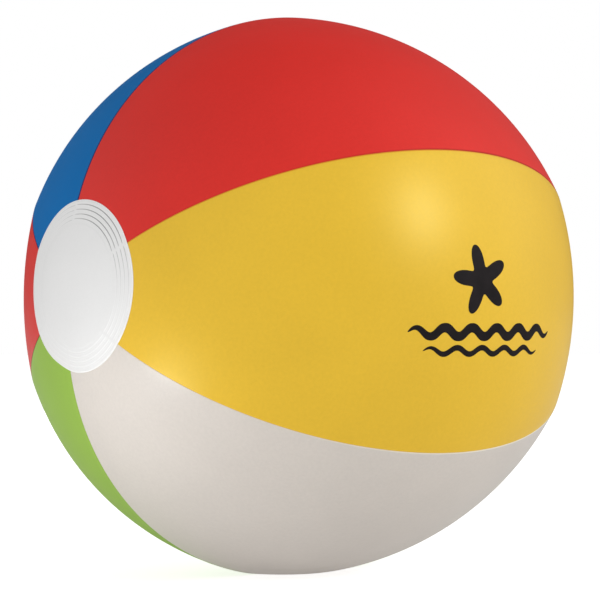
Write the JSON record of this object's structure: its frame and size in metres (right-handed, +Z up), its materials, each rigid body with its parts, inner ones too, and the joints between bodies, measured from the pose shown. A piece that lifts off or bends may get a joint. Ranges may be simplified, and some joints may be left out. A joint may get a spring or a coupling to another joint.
{
  "type": "inflatable beach ball",
  "caption": "Inflated beach ball of welded coloured vinyl gores, closed by round end discs, with a push-in air valve, its tethered plug and a check flap.",
  "frame": {"origin": "middle of the ball's box on the floor, under the ball's centre", "axes": "+Z up from the floor patch that the ball rests on; X along the polar axis that the gores run between, with the plain end disc at -X and the valve disc at +X; -Y is the side that shows the yellow gore"},
  "size_m": [0.2551, 0.2571, 0.2641],
  "materials": {
    "film_red_upper": "satin opaque vinyl film, fine grain",
    "film_yellow": "satin opaque vinyl film, fine grain",
    "film_white": "satin opaque vinyl film, fine grain",
    "film_green": "satin opaque vinyl film, fine grain",
    "film_red_rear": "satin opaque vinyl film, fine grain",
    "film_blue": "satin opaque vinyl film, fine grain",
    "film_disc_plain": "satin opaque vinyl film with pressed weld rings",
    "film_disc_valve": "satin opaque vinyl film with pressed weld rings",
    "vinyl_flange": "soft moulded vinyl, slightly milky",
    "vinyl_root_sleeve": "thin soft moulded vinyl, slightly milky",
    "vinyl_stem": "soft moulded vinyl, slightly milky",
    "vinyl_strap": "soft moulded vinyl, slightly milky",
    "vinyl_plug": "soft moulded vinyl, slightly milky",
    "vinyl_flap": "thin soft vinyl film, slightly milky"
  },
  "bodies": {
    "ball": {"panel_red_upper": "film_red_upper", "panel_yellow": "film_yellow", "panel_white": "film_white", "panel_green": "film_green", "panel_red_rear": "film_red_rear", "panel_blue": "film_blue", "end_disc_plain": "film_disc_plain", "end_disc_valve": "film_disc_valve", "valve_flange": "vinyl_flange", "valve_root_sleeve": "vinyl_root_sleeve"},
    "valve_stem": {"valve_stem": "vinyl_stem"},
    "valve_plug": {"valve_plug": "vinyl_plug", "valve_strap": "vinyl_strap"},
    "check_flap": {"check_flap": "vinyl_flap"}
  },
  "joints": [
    {"name": "valve_pop", "type": "slide", "parent": "ball", "child": "valve_stem", "axis": [1, 0, 0], "range_m": [0, 0.014], "deforming": ["valve_root_sleeve"]},
    {"name": "plug_flip", "type": "hinge", "parent": "valve_stem", "child": "valve_plug", "pos_m": [0.1266, 0.001, 0.1393], "axis": [0, -1, 0], "range_deg": [0, 120], "deforming": ["valve_strap"]},
    {"name": "flap_open", "type": "hinge", "parent": "valve_stem", "child": "check_flap", "pos_m": [0.11026, 0.001, 0.1359], "axis": [0, 1, 0], "range_deg": [0, 70], "stiffness_Nm_per_rad": 0.00002}
  ]
}
